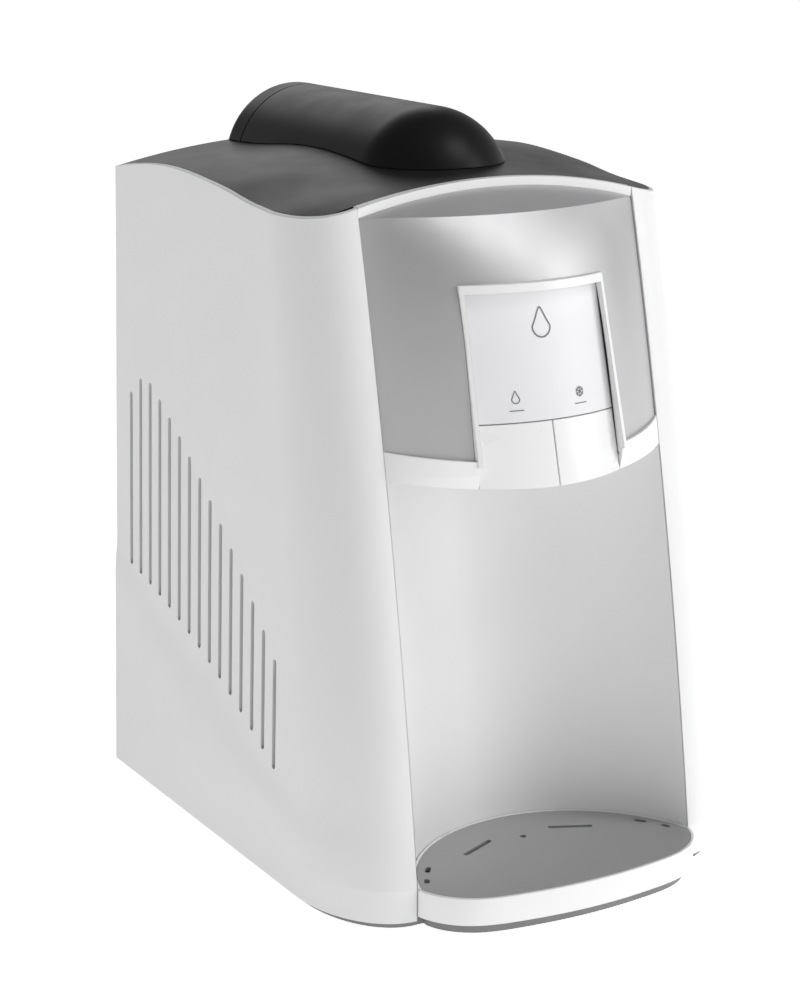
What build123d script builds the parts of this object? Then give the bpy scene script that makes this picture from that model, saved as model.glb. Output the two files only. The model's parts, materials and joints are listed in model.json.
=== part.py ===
from build123d import *
import os
from math import cos, radians, sin, sqrt

# Countertop water dispenser: mains fed, compressor cooled, with its filter on top.
# All sizes are in millimetres. While a piece is drawn, x runs to the right, y runs back from
# the foot of the front seam and z runs up from the table. save() then moves the origin to the
# middle of the base.

# ---- driving dimensions ----

# casings
width = 270.0                 # over both casings at the table
width_at_lid = 248.3          # over both casings at the lid's edge
body_depth = 327.0            # from the foot of the front seam to the back
lid_edge_height = 391.6       # lid's edge at the back
wall = 2.5
gap = 0.3                     # between pieces that lie side by side
seam_width = 185.8            # between the casings at the front, at the table
seam_width_at_lid = 180.8
corner_depth_low = 65.0       # how far the rounded front corners reach back, at the table
corner_depth_high = 43.0      # and at the lid
rear_radius = 8.0
rear_wrap = 22.5              # how far each casing turns round the back
casing_bottom = 6.0
step_height = 1.2             # the lower part of the side stands this much proud
step_ramp = 22.0              # and rises over this height
step_points = 14
step_levels = 18

# head and its controls
cavity_height = 250.0         # top of the opening for the glass
band_height_side = 16.0       # bumper band at the seams
band_proud = 5.0
band_dip = 6.5                # how far the band's edges drop at the middle
crease_drop = 1.6             # the head's crease lies this far under the lid's edge height
head_bow_low = 37.0           # how far the head bulges at the band
head_bow_high = 19.0          # and at its crease
head_fullness = 4             # the bulge keeps its size up to near the crease
panel_recess = 1.5
frame_width_low = 98.0        # display frame at the band
frame_width_high = 94.0       # and at its top
frame_length = 104.5          # from the band's lower edge to the frame's top
frame_rim = 2.6               # rim beside the label
frame_rim_top = 5.0           # and over it
frame_proud_low = 1.9         # frame's front before the head's, at its foot
frame_proud_high = 5.3        # and at its top
frame_bow_low = 8.0           # how far the frame's sides lie behind its middle
frame_bow_high = 11.0
collar_wall = 2.0             # the frame's window goes on through the panel
collar_depth = 3.5
bezel_film = 0.2              # adhesive film between the bezel and the head panel
key_length = 29.0             # from the band's lower edge
key_thickness = 3.0
key_travel = 5.0              # degrees
key_setback = 2.8             # keys' front behind the band's
label_setback = 2.4           # label's top behind the head's front
inner_curve = 0.00423         # how the keys and the label bulge
pin_radius = 1.5
pin_clearance = 0.05
stem_radius = 2.2
stem_clearance = 0.06
push_fit = 0.02               # tubes in their sockets
valve_radius = 7.0
valve_length = 30.0
spout_radius = 9.0
spout_drop = 12.0

# drip tray and base
tray_reach = 38.0             # how far the tray stands out in front of the seam
tray_top = 25.0
tray_bottom = 9.0
tray_wall = 2.2
grille_thickness = 2.3
cavity_sagitta = 70.0         # how deep the concave wall runs in behind the seam
pan_bottom = 2.5
pan_top = 8.0
pan_plate = 3.0
pan_setback = 5.5             # behind the tray's front
foot_radius = 10.0
foot_height = 5.0

# filter
cover_room = 13.75            # between the cartridge and the outside of its cover
cover_axis_height = 391.8
cover_wall = 2.5
cover_front = 101.0
cartridge_radius = 35.0
cartridge_front = 128.0
cartridge_length = 150.0
neck_radius = 13.0
neck_length = 26.0
cradle_gap = 0.6

# cooling
compressor_radius = 56.0
compressor_height = 150.0
compressor_from_back = 92.0
tank_radius = 48.0
tank_height = 118.0
insulation = 18.0
tank_floor = 190.0
condenser_gap = 12.0          # from the rear cover's inside to the condenser's tubes
condenser_wire_radius = 0.8
refrigerant_tube_radius = 2.4
water_tube_radius = 3.2
screw_radius = 1.75
screw_head_radius = 3.5
screw_head = 1.6

# vent slots of the side casings
vent_count = 15
vent_pitch = 14.35
vent_width = 4.2
vent_from_back = 30.0
vent_low = 144.0
vent_high = 267.0

# louvres of the rear cover
louvre_count = 20
louvre_pitch = 13.0
louvre_width = 3.4
louvre_length = 78.0
louvre_low = 96.0

# ---- values worked out from them ----

side_lean = (width - width_at_lid) / 2 / lid_edge_height
seam_lean = (seam_width - seam_width_at_lid) / 2 / lid_edge_height
band_low = cavity_height + 1
band_top = band_low + band_height_side
key_top = band_low + key_length
frame_height = band_low + frame_length
cover_radius = cartridge_radius + cover_room
crease_height = lid_edge_height - crease_drop
shift_y = (tray_reach - body_depth) / 2

os.makedirs("parts", exist_ok=True)


def save(name, shape):
    """Write one piece with its origin at the middle of the base."""
    export_step(Pos(0, shift_y, 0) * shape, f"parts/{name}.step")


# ---- the lines that every outer piece follows ----

seam_slope = 0.1276
seam_curl = 0.0001675


def half_width(z):
    return width / 2 - side_lean * z


def seam_half(z):
    return seam_width / 2 - seam_lean * z


def seam_line(z):
    """How far back the front seam lies: upright beside the tray, then leaning back."""
    rise = max(z - tray_top, 0)
    return seam_slope * rise + seam_curl * rise * rise


def corner_depth(z):
    share = z / lid_edge_height
    return corner_depth_low + (corner_depth_high - corner_depth_low) * share


arch_y = seam_line(lid_edge_height) + 1.0

# lid stations from back to front: share of the depth, edge and ridge above the edge height
crown_stations = [
    (1.02, -1.0, 14.6),
    (0.92, 5.9, 16.4),
    (0.81, 9.9, 18.4),
    (0.70, 10.8, 21.8),
    (0.60, 8.9, 22.7),
    (0.49, 5.4, 21.4),
    (0.38, 1.0, 18.4),
    (0.30, -1.1, 16.6),
    (0.21, -6.4, 15.9),
    (0.12, -12.0, 15.4),
    (-0.10, -20.0, 15.0),
]


def closed_face(edges):
    return Face(Wire(edges))


def crowned_block(drop, floor=-10.0):
    """Everything under the lid's crowned surface, with the surface lowered by drop."""
    reach = width / 2 + 8
    crown_half = width_at_lid / 2
    sections = []
    for share, edge, ridge in crown_stations:
        y = share * body_depth
        middle = lid_edge_height + ridge - drop
        side = middle - (ridge - edge) * (reach / crown_half) ** 2
        sections.append(closed_face([
            ThreePointArc((-reach, y, side), (0, y, middle), (reach, y, side)),
            Line((reach, y, side), (reach, y, floor)),
            Line((reach, y, floor), (-reach, y, floor)),
            Line((-reach, y, floor), (-reach, y, side)),
        ]))
    return loft(sections)


def stations(low, high, count):
    return [low + (high - low) * step / (count - 1) for step in range(count)]


def arc_at(z, centre, rx, ry, start, sweep):
    return Pos(0, 0, z) * EllipticalCenterArc(centre, rx, ry, start, arc_size=sweep)


def step_edge(y):
    """Height of the soft step on the side at distance y from the seam."""
    share = y / body_depth
    return 40 + 63 * share + 47 * share ** 3


def smooth(value):
    share = min(max(value, 0.0), 1.0)
    return share * share * (3 - 2 * share)


def proud(y, z):
    """How far the lower part of the side stands out there."""
    return step_height * smooth((step_edge(y) - z) / step_ramp + 0.5)


def casing_section(z, stepped):
    """Section of the right casing: front corner, side and the turn round the back."""
    side = half_width(z)
    seam = seam_half(z)
    front = seam_line(z)
    rx = side - seam
    ry = corner_depth(z)
    start = front + ry
    turn = body_depth - rear_radius
    wrap = side - rear_wrap
    inner = side - wall
    grow_front = proud(start, z) if stepped else 0.0
    grow_back = proud(turn, z) if stepped else 0.0
    if stepped:
        places = stations(start, turn, step_points)
        side_edge = Spline(*[(side + proud(y, z), y, z) for y in places])
    else:
        side_edge = Line((side, start, z), (side, turn, z))
    return closed_face([
        arc_at(z, (seam, start), rx + grow_front, ry, 270, 90),
        side_edge,
        arc_at(z, (side - rear_radius, turn), rear_radius + grow_back, rear_radius, 0, 90),
        Line((side - rear_radius, body_depth, z), (wrap, body_depth, z)),
        Line((wrap, body_depth, z), (wrap, body_depth - wall, z)),
        Line((wrap, body_depth - wall, z), (side - rear_radius, body_depth - wall, z)),
        arc_at(z, (side - rear_radius, turn), rear_radius - wall, rear_radius - wall, 0, 90),
        Line((inner, turn, z), (inner, start, z)),
        arc_at(z, (seam, start), rx - wall, ry - wall, 270, 90),
        Line((seam, front + wall, z), (seam, front, z)),
    ])


def body_outline(z, inset):
    """Closed outline of the whole body, inset from the casings' outer face."""
    side = half_width(z)
    seam = seam_half(z)
    front = seam_line(z)
    rx = side - seam
    ry = corner_depth(z)
    turn = body_depth - rear_radius
    radius = rear_radius - inset if rear_radius > inset + 0.5 else 0.5
    edge = side - inset
    back = body_depth - inset
    return closed_face([
        arc_at(z, (seam, front + ry), rx - inset, ry - inset, 270, 90),
        Line((edge, front + ry, z), (edge, back - radius, z)),
        arc_at(z, (edge - radius, back - radius), radius, radius, 0, 90),
        Line((edge - radius, back, z), (radius - edge, back, z)),
        arc_at(z, (radius - edge, back - radius), radius, radius, 90, 90),
        Line((-edge, back - radius, z), (-edge, front + ry, z)),
        arc_at(z, (-seam, front + ry), rx - inset, ry - inset, 180, 90),
        Line((-seam, front + inset, z), (seam, front + inset, z)),
    ])


def bowed_section(z, half, edge_y, middle_y, thickness):
    """Strip between two arcs that bulge to the front."""
    back_edge = edge_y + thickness
    return closed_face([
        ThreePointArc((-half, edge_y, z), (0, middle_y, z), (half, edge_y, z)),
        Line((half, edge_y, z), (half, back_edge, z)),
        ThreePointArc((half, back_edge, z), (0, middle_y + thickness, z), (-half, back_edge, z)),
        Line((-half, back_edge, z), (-half, edge_y, z)),
    ])


def bowed_block_section(z, half, edge_y, middle_y, back_y):
    """Everything from a bulging front arc to a straight back."""
    return closed_face([
        ThreePointArc((-half, edge_y, z), (0, middle_y, z), (half, edge_y, z)),
        Line((half, edge_y, z), (half, back_y, z)),
        Line((half, back_y, z), (-half, back_y, z)),
        Line((-half, back_y, z), (-half, edge_y, z)),
    ])


def box_between(low, high):
    size = [b - a for a, b in zip(low, high)]
    middle = [(a + b) / 2 for a, b in zip(low, high)]
    return Pos(*middle) * Box(*size)


def rod_y(x, z, y_start, y_end, radius):
    """Round bar along y."""
    middle = (y_start + y_end) / 2
    return Pos(x, middle, z) * Rot(90, 0, 0) * Cylinder(radius, abs(y_end - y_start))


def rod_x(y, z, x_start, x_end, radius):
    """Round bar along x."""
    middle = (x_start + x_end) / 2
    return Pos(middle, y, z) * Rot(0, 90, 0) * Cylinder(radius, abs(x_end - x_start))


def rod_z(x, y, z_start, z_end, radius):
    """Round bar along z."""
    return Pos(x, y, (z_start + z_end) / 2) * Cylinder(radius, abs(z_end - z_start))


def tube(points, radius, bend):
    """Solid round line along straight runs joined by arcs."""
    path = FilletPolyline(*points, radius=bend)
    return sweep(Plane(path @ 0, z_dir=path % 0) * Circle(radius), path=path)


# ---- casings ----

casing_top = lid_edge_height + 30
step_top = step_edge(body_depth) + step_ramp
casing = loft([casing_section(z, True) for z in (casing_bottom, tray_top)], ruled=True)
casing += loft([casing_section(z, True) for z in stations(tray_top, step_top, step_levels)])
casing += loft([casing_section(z, False) for z in stations(step_top, casing_top, 5)])
casing = casing & crowned_block(0)


def vent_bottom(from_first):
    return vent_low - 0.19 * from_first - 0.00083 * from_first ** 2


def vent_top(from_first):
    past = max(from_first - 2 * vent_pitch, 0)
    first = max(1 - from_first / vent_pitch, 0)
    return vent_high - 0.523 * past - 0.0013 * past ** 2 - 11 * first


slots = []
for index in range(vent_count):
    from_first = index * vent_pitch
    y = body_depth - vent_from_back - from_first
    low = vent_bottom(from_first)
    high = vent_top(from_first)
    face = Plane(origin=(width / 2 + 5, y, (low + high) / 2), x_dir=(0, 1, 0), z_dir=(1, 0, 0))
    slots.append(extrude(face * SlotOverall(high - low, vent_width, rotation=90), amount=-40))
casing = casing - slots

# a flange inside each turn carries the rear cover's screws
rear_face = body_depth - wall
cover_low = casing_bottom + 4
flange_width = 12.0
screw_heights = (cover_low + 45, lid_edge_height / 2, lid_edge_height - 45)


def rear_half(z):
    return half_width(z) - rear_wrap - gap


def leaning_sheet(inner_shift, outer_shift, y_front, y_back):
    """Upright sheet at the right rear, between two lines that lean with the side."""
    top = casing_top
    outline = Polyline(
        (rear_half(cover_low) + inner_shift, y_front, cover_low),
        (rear_half(cover_low) + outer_shift, y_front, cover_low),
        (rear_half(top) + outer_shift, y_front, top),
        (rear_half(top) + inner_shift, y_front, top),
        close=True,
    )
    return extrude(Face(Wire(outline.edges())), amount=y_back - y_front, dir=(0, 1, 0))


flange = leaning_sheet(-flange_width, gap + wall, rear_face - wall, rear_face)
casing += flange & crowned_block(wall + gap)
screw_places = [(side * (rear_half(z) - flange_width / 2), z)
                for side in (-1, 1) for z in screw_heights]
casing -= [rod_y(x, z, rear_face - wall - 1, rear_face + 1, screw_radius - 0.15)
           for x, z in screw_places if x > 0]

save("right_casing", casing)
save("left_casing", mirror(casing, about=Plane.YZ))

# ---- rear cover ----

service_z = louvre_low - 46
inlet_x = 38 - rear_half(0)
drain_x = inlet_x + 40
knob_x = -inlet_x
gland_x = knob_x - 45
inlet_flange = 9.0
knob_shaft = 3.0
gland_radius = 7.0
drain_radius = 8.0

right_half_cover = leaning_sheet(-rear_half(cover_low) - 1, 0, rear_face, body_depth)
rear_cover = (right_half_cover + mirror(right_half_cover, about=Plane.YZ)) & crowned_block(0)
cuts = [rod_y(x, z, rear_face - 1, body_depth + 1, screw_radius + 0.25) for x, z in screw_places]
cuts += [rod_y(x, z, body_depth - screw_head, body_depth + 1, screw_head_radius + 0.2)
         for x, z in screw_places]
for row in range(louvre_count):
    z = louvre_low + row * louvre_pitch
    for side in (-1, 1):
        face = Plane(origin=(side * (louvre_length / 2 + 6), body_depth + 1, z),
                     x_dir=(1, 0, 0), z_dir=(0, -1, 0))
        cuts.append(extrude(face * SlotOverall(louvre_length, louvre_width), amount=wall + 2))
for x, radius in ((inlet_x, inlet_flange), (drain_x, drain_radius),
                  (knob_x, knob_shaft + 1), (gland_x, gland_radius)):
    cuts.append(rod_y(x, service_z, rear_face - 1, body_depth + 1, radius + 0.2))
rear_cover = rear_cover - cuts
save("rear_cover", rear_cover)

screws = Part()
for x, z in screw_places:
    screws += rod_y(x, z, rear_face - wall - 4, body_depth - screw_head, screw_radius - 0.15)
    screws += rod_y(x, z, body_depth - screw_head, body_depth, screw_head_radius)
    screws -= rod_y(x, z, body_depth - 1, body_depth + 1, 1.2)
save("rear_screws", screws)

# ---- the filter cover's capsule, which the lid opens under ----


def capsule(radius, front, back, rounding):
    """Round capsule along y with a ball nose and a rounded rear edge."""
    barrel = rod_y(0, cover_axis_height, front + radius, back, radius)
    rear_edge = barrel.edges().filter_by(GeomType.CIRCLE).sort_by(Axis.Y)[-1]
    barrel = fillet([rear_edge], rounding)
    return barrel + Pos(0, front + radius, cover_axis_height) * Sphere(radius)


cover_back = body_depth - 1.0
cover_seat = 0.4
cover_rounding = 9.0

# ---- lid and the arch in front of it ----

arch_thickness = 5.0
lid_thickness = 2.5
lid_front = arch_y + arch_thickness + gap
lid_back = rear_face - gap
bay_half = cartridge_radius + 4
bay_front = cartridge_front - 10
head_length = 34.0
collar_radius = neck_radius + 8
bay_back = cartridge_front + cartridge_length + head_length + 8

lid_plan = loft([body_outline(z, wall + gap) for z in stations(crease_height - 40, casing_top, 3)])
lid_layer = crowned_block(0) - crowned_block(lid_thickness)
lid = lid_layer & lid_plan
lid = lid & box_between((-width, lid_front, 0), (width, lid_back, casing_top * 2))
opening = box_between((-bay_half, bay_front, 0), (bay_half, bay_back, casing_top * 2))
opening &= capsule(cover_radius - 2 * cover_wall, cover_front + 2 * cover_wall,
                   cover_back - cover_wall, cover_rounding - 2 * cover_wall)
lid -= opening
save("top_lid", lid)

arch_half = seam_half(crease_height) - gap
arch_low = crease_height - 8
arch_block = box_between((-arch_half, arch_y, arch_low),
                         (arch_half, arch_y + arch_thickness, casing_top * 2)) & crowned_block(0)
arch_end_z = crease_height + 0.5
arch_middle_z = crease_height + 12.5
opening_face = closed_face([
    ThreePointArc((-arch_half - 1, arch_y - 1, arch_end_z), (0, arch_y - 1, arch_middle_z),
                  (arch_half + 1, arch_y - 1, arch_end_z)),
    Line((arch_half + 1, arch_y - 1, arch_end_z), (arch_half + 1, arch_y - 1, arch_low - 1)),
    Line((arch_half + 1, arch_y - 1, arch_low - 1), (-arch_half - 1, arch_y - 1, arch_low - 1)),
    Line((-arch_half - 1, arch_y - 1, arch_low - 1), (-arch_half - 1, arch_y - 1, arch_end_z)),
])
arch = arch_block - extrude(opening_face, amount=1 + arch_thickness / 2, dir=(0, 1, 0))
save("front_arch", arch)

# ---- silver head panel ----

panel_wall = 2.5
head_low = cavity_height + 6
crease_middle = seam_line(crease_height) + panel_recess - head_bow_high
facet_rise = arch_middle_z - crease_height
facet_run = arch_y - crease_middle


def head_edge(z):
    return seam_line(z) + panel_recess


def head_middle(z):
    share = max((z - band_top) / (crease_height - band_top), 0)
    bow = head_bow_low + (head_bow_high - head_bow_low) * share ** head_fullness
    return head_edge(z) - bow


def head_front(z, x):
    """Distance of the head panel's front from the seam's foot, at height z and side x."""
    return head_middle(z) + (head_edge(z) - head_middle(z)) * (x / seam_half(z)) ** 2


head_levels = stations(head_low, arch_middle_z + 4, 11)
head_block = loft([bowed_block_section(z, seam_half(z) - gap, head_edge(z), head_middle(z),
                                       arch_y + 30) for z in head_levels])
head_skin = loft([bowed_section(z, seam_half(z) - gap, head_edge(z), head_middle(z), panel_wall)
                  for z in head_levels])


def under_facet(drop):
    """Everything under the lens-shaped facet, which climbs from the crease to the arch."""
    reach = arch_y + 20
    scale = reach / facet_run
    front_y = arch_y - reach
    fall = facet_rise * scale
    end = arch_end_z - fall - drop
    middle = arch_middle_z - fall - drop
    side = arch_half + 1
    low = -60.0
    face = closed_face([
        ThreePointArc((-side, front_y, end), (0, front_y, middle), (side, front_y, end)),
        Line((side, front_y, end), (side, front_y, low)),
        Line((side, front_y, low), (-side, front_y, low)),
        Line((-side, front_y, low), (-side, front_y, end)),
    ])
    return extrude(face, amount=1.2 * sqrt(reach ** 2 + fall ** 2), dir=(0, reach, fall))


facet_layer = (under_facet(0) - under_facet(panel_wall)) & head_block
facet_layer = facet_layer & box_between((-width, 0, crease_height - 6), (width, arch_y, casing_top))
head_panel = (head_skin & under_facet(0)) & box_between(
    (-width, -width, 0), (width, arch_y, casing_top))
head_panel = head_panel + facet_layer

# ---- bumper band and display frame ----

band_wall = 3.0
frame_half_low = frame_width_low / 2
frame_half_high = frame_width_high / 2
window_top = frame_height - frame_rim_top
frame_bottom = band_top - 6


def band_front(z):
    share = (z - band_low) / band_height_side
    return head_middle(band_top) - band_proud + 3.5 * (1 - share) * (1 - 0.4 * share)


def along_frame(z, low, high):
    share = (z - frame_bottom) / (frame_height - frame_bottom)
    return low + (high - low) * share


frame_depth_low = head_middle(frame_bottom) - frame_proud_low
frame_depth_high = head_middle(frame_height) - frame_proud_high


def frame_middle(z):
    return along_frame(z, frame_depth_low, frame_depth_high)


def frame_edge(z):
    return frame_middle(z) + along_frame(z, frame_bow_low, frame_bow_high)


def frame_half(z):
    return along_frame(z, frame_half_low, frame_half_high)


def window_half(z):
    return frame_half(z) - frame_rim


inner_foot = band_low - band_dip
inner_depth_low = head_middle(band_top) - band_proud + key_setback
inner_depth_high = head_middle(window_top) + label_setback
inner_slope = (inner_depth_high - inner_depth_low) / (window_top - inner_foot)


def inner_middle(z):
    """Front of the keys and of the label at the middle."""
    return inner_depth_low + inner_slope * (z - inner_foot)


def inner_bow(x):
    return inner_curve * x ** 2


def window_block(extra, low, high):
    """Block along y whose sides lean in with the frame's window."""
    outline = Polyline(
        (-window_half(low) - extra, -60, low),
        (window_half(low) + extra, -60, low),
        (window_half(high) + extra, -60, high),
        (-window_half(high) - extra, -60, high),
        close=True,
    )
    return extrude(Face(Wire(outline.edges())), amount=260, dir=(0, 1, 0))


band_levels = (cavity_height - 14, cavity_height + 4, band_top + 2)
band = loft([bowed_section(z, seam_half(z) - gap, seam_line(z), band_front(z), band_wall)
             for z in band_levels], ruled=True)


def dipping_block(end_z, middle_z, low):
    """Everything under an edge that dips at the middle."""
    side = width / 2
    end_z = middle_z + (end_z - middle_z) * (side / seam_half(end_z)) ** 2
    face = closed_face([
        ThreePointArc((-side, -60, end_z), (0, -60, middle_z), (side, -60, end_z)),
        Line((side, -60, end_z), (side, -60, low)),
        Line((side, -60, low), (-side, -60, low)),
        Line((-side, -60, low), (-side, -60, end_z)),
    ])
    return extrude(face, amount=200, dir=(0, 1, 0))


below_band = dipping_block(band_low, band_low - band_dip, 0)
band = band & dipping_block(band_top, band_top - band_dip, 0)
band = band - below_band
frame_block = loft([
    bowed_block_section(z, frame_half(z), frame_edge(z), frame_middle(z), arch_y)
    for z in stations(frame_bottom - 2, frame_height, 3)
])
window = window_block(0, 0, window_top)
collar = window_block(collar_wall, band_low + 2, window_top) & (Pos(0, -0.5, 0) * head_block)
collar -= Pos(0, collar_depth, 0) * head_block
behind_film = Pos(0, -bezel_film, 0) * head_block
bezel = (band + frame_block - behind_film + collar) - window
save("front_bezel", bezel)

# the head panel opens behind the frame, for the keys' levers and the display
panel_window = window_block(collar_wall + 0.5, 0, window_top + 0.5)
head_panel = head_panel - panel_window
save("head_panel", head_panel)

# ---- label and keys ----


def inner_slab(low, high, side_gap, depth_from, depth_to):
    """Bulging plate that fills the frame's window, apart from a gap at each side."""
    sections = []
    for z in (low, high):
        half = window_half(z) - side_gap
        front = inner_middle(z) + depth_from
        sections.append(bowed_section(z, half, front + inner_bow(half), front,
                                      depth_to - depth_from))
    return loft(sections, ruled=True)


label_gap = 0.6
label_thickness = 1.5
label = inner_slab(key_top + label_gap, window_top - gap / 2, gap / 2, 0, label_thickness)
save("label_panel", label)

pin_z = key_top - key_thickness
pin_half = window_half(pin_z)
pin_y = inner_middle(key_top) + inner_bow(pin_half) + key_thickness + 1.5
key_gap = 0.4                 # beside the frame
barrel_radius = 3.0
key_low = band_low - band_dip - 6
key_blank = inner_slab(key_low, key_top, key_gap, 0, key_thickness) - below_band
pin_slack = pin_radius + pin_clearance
lever_half = 3.0
lever_drop = 17.0
valve_x = pin_half / 2
valve_z = pin_z - lever_drop
lever_end = pin_y + 2.2
ear_thickness = 1.6
post_radius = 4.0


def key(side):
    """One key with its hinge barrel, web and the lever that pushes the valve's stem."""
    low_x, high_x = sorted((side * key_gap, side * width / 2))
    plate = key_blank & box_between((low_x, -60, 0), (high_x, 200, casing_top))
    barrel_low, barrel_high = sorted((side * (ear_thickness + gap), side * (pin_half - key_gap)))
    barrel = rod_x(pin_y, pin_z, barrel_low, barrel_high, barrel_radius)
    hole = rod_x(pin_y, pin_z, barrel_low - 1, barrel_high + 1, pin_slack)
    lever = box_between((side * valve_x - lever_half, 0, valve_z - 1.6),
                        (side * valve_x + lever_half, lever_end, valve_z + 1.6))
    web_low, web_high = sorted((side * (valve_x - 12), side * (valve_x + 12)))
    web = box_between((web_low, 0, pin_z - 2.4), (web_high, pin_y, pin_z - 0.6))
    behind = inner_slab(key_low, key_top + 3, key_gap, key_thickness / 2, 60)
    return plate + ((lever + web + barrel) & behind) - hole


save("key_natural", key(-1))
save("key_cold", key(1))

pin_end = pin_half + ear_thickness
save("key_hinge_pin", rod_x(pin_y, pin_z, -pin_end, pin_end, pin_radius))

# ---- carrier behind the keys ----

carrier_thickness = 2.5
carrier_half = pin_half + 16
carrier_low = cavity_height + 4
carrier_high = window_top
stem_gap = 0.3


def carrier_front(z):
    """The carrier leans back with the head, behind the panel."""
    foot = max(pin_y + barrel_radius + 1.6, head_front(carrier_low, carrier_half) + panel_wall + 1.5)
    top = head_front(carrier_high, carrier_half) + panel_wall + 1.5
    share = (z - carrier_low) / (carrier_high - carrier_low)
    return foot + (top - foot) * share


def leaning_plate(half, low, high, depth_from, depth_to):
    side_face = Face(Wire(Polyline(
        (-half, carrier_front(low) + depth_from, low),
        (-half, carrier_front(low) + depth_to, low),
        (-half, carrier_front(high) + depth_to, high),
        (-half, carrier_front(high) + depth_from, high),
        close=True,
    ).edges()))
    return extrude(side_face, amount=2 * half, dir=(1, 0, 0))


carrier = leaning_plate(carrier_half, carrier_low, carrier_high, 0, carrier_thickness)
for x in (-pin_end, -ear_thickness / 2, pin_half):
    ear = box_between((x, pin_y - 2.6, pin_z - 2.6),
                      (x + ear_thickness, carrier_front(pin_z) + 1, pin_z + 2.6))
    carrier += ear
carrier -= rod_x(pin_y, pin_z, -carrier_half, carrier_half, pin_radius)
stem_hole = stem_radius + stem_clearance
for side in (-1, 1):
    carrier -= rod_y(side * valve_x, valve_z, 0, 100, stem_hole + 0.3)
post_places = [(side * (carrier_half - 6), z) for side in (-1, 1)
               for z in (carrier_low + 12, carrier_high - 12)]
behind_panel = loft([bowed_block_section(z, seam_half(z) - gap, head_edge(z) + panel_wall,
                                         head_middle(z) + panel_wall, arch_y + 60)
                     for z in head_levels])
for x, z in post_places:
    post = rod_y(x, z, 0, carrier_front(z) + carrier_thickness / 2, post_radius)
    carrier += post & behind_panel
save("display_carrier", carrier)

# ---- tap valves ----

head_floor_top = cavity_height + 2.5
valve_front = carrier_front(valve_z + valve_radius) + carrier_thickness + 0.2
valve_back = valve_front + valve_length
valve_end_wall = 3.0
stem_start = lever_end + stem_gap
stem_end = valve_front + valve_length * 0.55
chamber_radius = valve_radius - 1.8
shoulder_start = valve_front + valve_end_wall + 0.6
shoulder_end = shoulder_start + 2.5
travel = radians(key_travel) * lever_drop
spout_y = valve_front + spout_radius + 2
nipple_radius = 4.0
nipple_length = 10.0


def valve_body(side):
    x = side * valve_x
    body = rod_y(x, valve_z, valve_front, valve_back, valve_radius)
    body += rod_y(x, valve_z, valve_back - 1, valve_back + nipple_length, water_tube_radius + 1.2)
    joint_low, joint_high = sorted((side * (spout_radius - 1), side * (valve_x - valve_radius + 2)))
    body += rod_x(spout_y, valve_z, joint_low, joint_high, nipple_radius)
    body -= rod_x(spout_y, valve_z, *sorted((side * (spout_radius - 2), x)), nipple_radius - 1.5)
    body -= rod_y(x, valve_z, valve_front + valve_end_wall, valve_back - valve_end_wall,
                  chamber_radius)
    body -= rod_y(x, valve_z, valve_front - 1, valve_front + valve_end_wall + 1, stem_hole)
    return body - rod_y(x, valve_z, valve_back - valve_end_wall - 1, valve_back + nipple_length + 1,
                        water_tube_radius + push_fit)


def valve_stem(side):
    x = side * valve_x
    stem = rod_y(x, valve_z, stem_start, stem_end, stem_radius)
    return stem + rod_y(x, valve_z, shoulder_start, shoulder_end, chamber_radius - 0.8)


def valve_spring(side):
    rings = Part()
    turns = 6
    wire = 0.45
    first = shoulder_end + travel + 1.2
    last = valve_back - valve_end_wall - wire - 0.1
    for y in stations(first, last, turns):
        rings += Pos(side * valve_x, y, valve_z) * Rot(90, 0, 0) * Torus(stem_radius + 1.4, wire)
    return rings


for side, name in ((-1, "natural"), (1, "cold")):
    save(f"valve_body_{name}", valve_body(side))
    save(f"valve_stem_{name}", valve_stem(side))
save("valve_springs", valve_spring(-1) + valve_spring(1))

# ---- cavity: concave liner, floor of the head and spout ----

liner_wall = 2.5


def arc_strip(z, half, edge_y, sagitta, thickness):
    """Strip along an arc that runs in behind the seam."""
    return closed_face([
        ThreePointArc((-half, edge_y, z), (0, edge_y + sagitta, z), (half, edge_y, z)),
        Line((half, edge_y, z), (half, edge_y + thickness, z)),
        ThreePointArc((half, edge_y + thickness, z), (0, edge_y + sagitta + thickness, z),
                      (-half, edge_y + thickness, z)),
        Line((-half, edge_y + thickness, z), (-half, edge_y, z)),
    ])


def liner_half(z):
    return seam_half(z) - gap


liner = loft([arc_strip(z, liner_half(z), seam_line(z), cavity_sagitta, liner_wall)
              for z in (pan_top + gap, tray_top)], ruled=True)
liner += loft([arc_strip(z, liner_half(z), seam_line(z), cavity_sagitta, liner_wall)
               for z in stations(tray_top, cavity_height - gap, 4)])
save("cavity_liner", liner)

floor_edge = seam_line(cavity_height) + 4
floor_half = liner_half(cavity_height)
floor_middle = inner_middle(cavity_height) + key_thickness + radians(key_travel) * 34 + 4
floor_back = seam_line(cavity_height) + cavity_sagitta + liner_wall
head_floor = extrude(closed_face([
    ThreePointArc((-floor_half, floor_edge, cavity_height), (0, floor_middle, cavity_height),
                  (floor_half, floor_edge, cavity_height)),
    Line((floor_half, floor_edge, cavity_height), (floor_half, floor_edge + 1, cavity_height)),
    ThreePointArc((floor_half, floor_edge + 1, cavity_height), (0, floor_back, cavity_height),
                  (-floor_half, floor_edge + 1, cavity_height)),
    Line((-floor_half, floor_edge + 1, cavity_height), (-floor_half, floor_edge, cavity_height)),
]), amount=head_floor_top - cavity_height, dir=(0, 0, 1))
head_floor -= rod_z(0, spout_y, 0, casing_top, spout_radius + 0.15)
save("head_floor", head_floor)

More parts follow.
